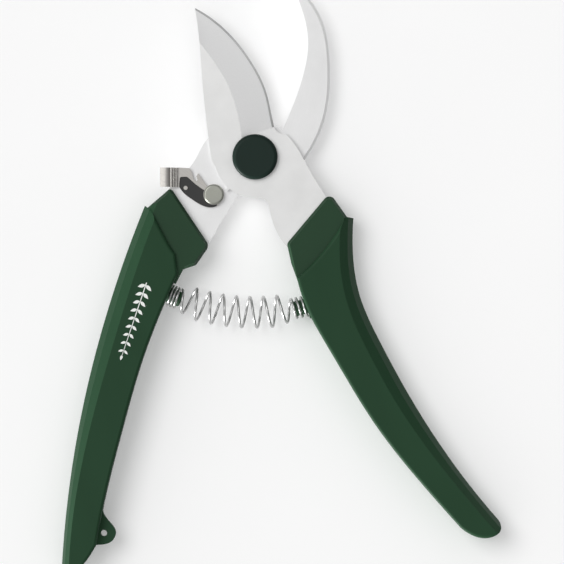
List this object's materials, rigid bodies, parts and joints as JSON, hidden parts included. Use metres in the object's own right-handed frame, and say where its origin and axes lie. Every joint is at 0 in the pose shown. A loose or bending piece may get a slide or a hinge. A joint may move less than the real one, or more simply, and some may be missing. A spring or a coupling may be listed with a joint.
{
  "type": "pruning shears",
  "caption": "Bypass pruning shears with a ground blade, a hooked counter-blade, a coil return spring, a catch and two moulded grips.",
  "frame": {"origin": "on the pivot axis, at the lower face of the pivot bolt and nut, which is also the plane the grips rest on", "axes": "+Z along the pivot towards the cutting blade's side, +Y towards the blade tips, +X towards the cutting blade's handle"},
  "size_m": [0.1404, 0.1879, 0.015],
  "materials": {
    "blade_steel": "fine ground",
    "hook_steel": "satin",
    "core_plastic": "satin moulded",
    "sleeve_rubber": "soft matte",
    "cap_plastic": "matte moulded",
    "fastener_steel": "zinc plated",
    "catch_steel": "polished",
    "rivet_steel": "satin",
    "spring_steel": "bright wire"
  },
  "bodies": {
    "hook_lever": {"hook_blade": "hook_steel", "left_grip_core": "core_plastic", "left_grip_sleeve": "sleeve_rubber", "pivot_bolt": "fastener_steel", "pivot_washer": "fastener_steel", "pivot_cap": "cap_plastic", "pivot_nut": "fastener_steel", "lock_washer": "fastener_steel", "catch_rivet": "rivet_steel", "catch_washer": "fastener_steel", "return_spring": "spring_steel"},
    "blade_lever": {"cutting_blade": "blade_steel", "right_grip_core": "core_plastic", "right_grip_sleeve": "sleeve_rubber"},
    "catch": {"catch_lever": "catch_steel"}
  },
  "joints": [
    {"name": "shears_pivot", "type": "hinge", "parent": "hook_lever", "child": "blade_lever", "pos_m": [0, 0, 0.0075], "axis": [0, 0, -1], "range_deg": [0, 38], "stiffness_Nm_per_rad": 3, "springref_deg": -3.44, "deforming": ["return_spring"]},
    {"name": "catch_pivot", "type": "hinge", "parent": "hook_lever", "child": "catch", "pos_m": [-0.0132, -0.012, 0.0085], "axis": [0, 0, -1], "range_deg": [0, 38]}
  ]
}
